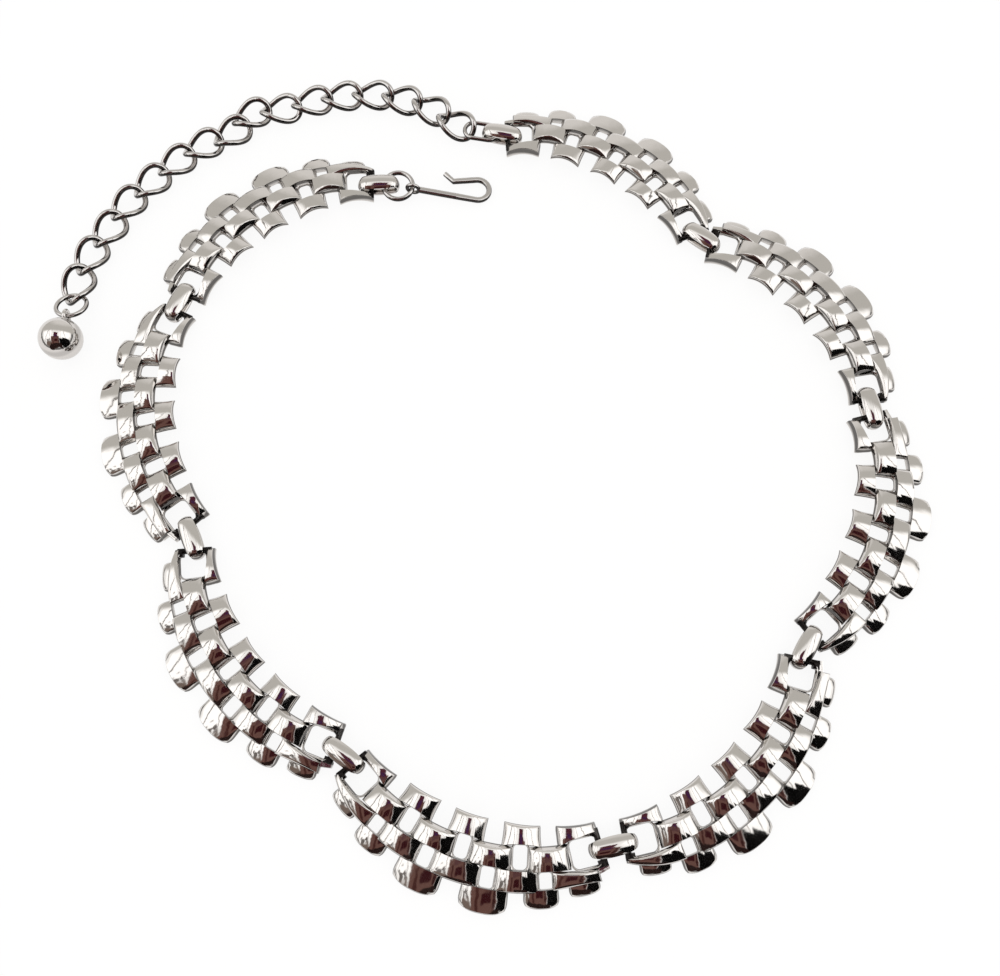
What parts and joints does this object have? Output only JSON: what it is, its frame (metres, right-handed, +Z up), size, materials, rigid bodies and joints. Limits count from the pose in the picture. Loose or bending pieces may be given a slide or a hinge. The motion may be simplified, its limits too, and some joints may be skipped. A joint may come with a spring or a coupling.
{
  "type": "link necklace",
  "caption": "Silver-tone collar necklace of curved openwork plates joined by domed links, lying open, with a J hook and an extension chain that ends in a ball.",
  "frame": {"origin": "centre of the bounding box on the table that the necklace lies on, z = 0 at the table", "axes": "+Z up; +X to the right and +Y away from the viewer as the picture shows it lying, so the extension chain is on the -X side and both open ends are on the +Y side"},
  "size_m": [0.1562, 0.1518, 0.0075],
  "materials": {
    "cast_plate": "bright silver-tone plating on a polished cast base metal",
    "band_link": "bright silver-tone plating on formed half-round band",
    "chain_link": "silver-tone plated steel wire, a little darker than the plates",
    "ring_wire": "silver-tone plated wire",
    "ball": "polished silver-tone plated ball",
    "hook": "silver-tone plated flat hook, slightly brushed"
  },
  "bodies": {
    "root": {"casting_1": "cast_plate", "casting_2": "cast_plate", "casting_3": "cast_plate", "casting_4": "cast_plate", "casting_5": "cast_plate", "casting_6": "cast_plate", "casting_7": "cast_plate", "casting_8": "cast_plate", "connector_chain": "band_link", "connector_1": "band_link", "connector_2": "band_link", "connector_3": "band_link", "connector_4": "band_link", "connector_5": "band_link", "connector_6": "band_link", "connector_7": "band_link", "connector_hook": "band_link", "curb_link_01": "chain_link", "curb_link_02": "chain_link", "curb_link_03": "chain_link", "curb_link_04": "chain_link", "curb_link_05": "chain_link", "curb_link_06": "chain_link", "curb_link_07": "chain_link", "curb_link_08": "chain_link", "curb_link_09": "chain_link", "curb_link_10": "chain_link", "curb_link_11": "chain_link", "curb_link_12": "chain_link", "curb_link_13": "chain_link", "curb_link_14": "chain_link", "curb_link_15": "chain_link", "curb_link_16": "chain_link", "wire_link": "ring_wire", "ball_ring": "ring_wire", "hook_ring": "ring_wire", "end_ball": "ball", "hook": "hook"}
  },
  "joints": []
}
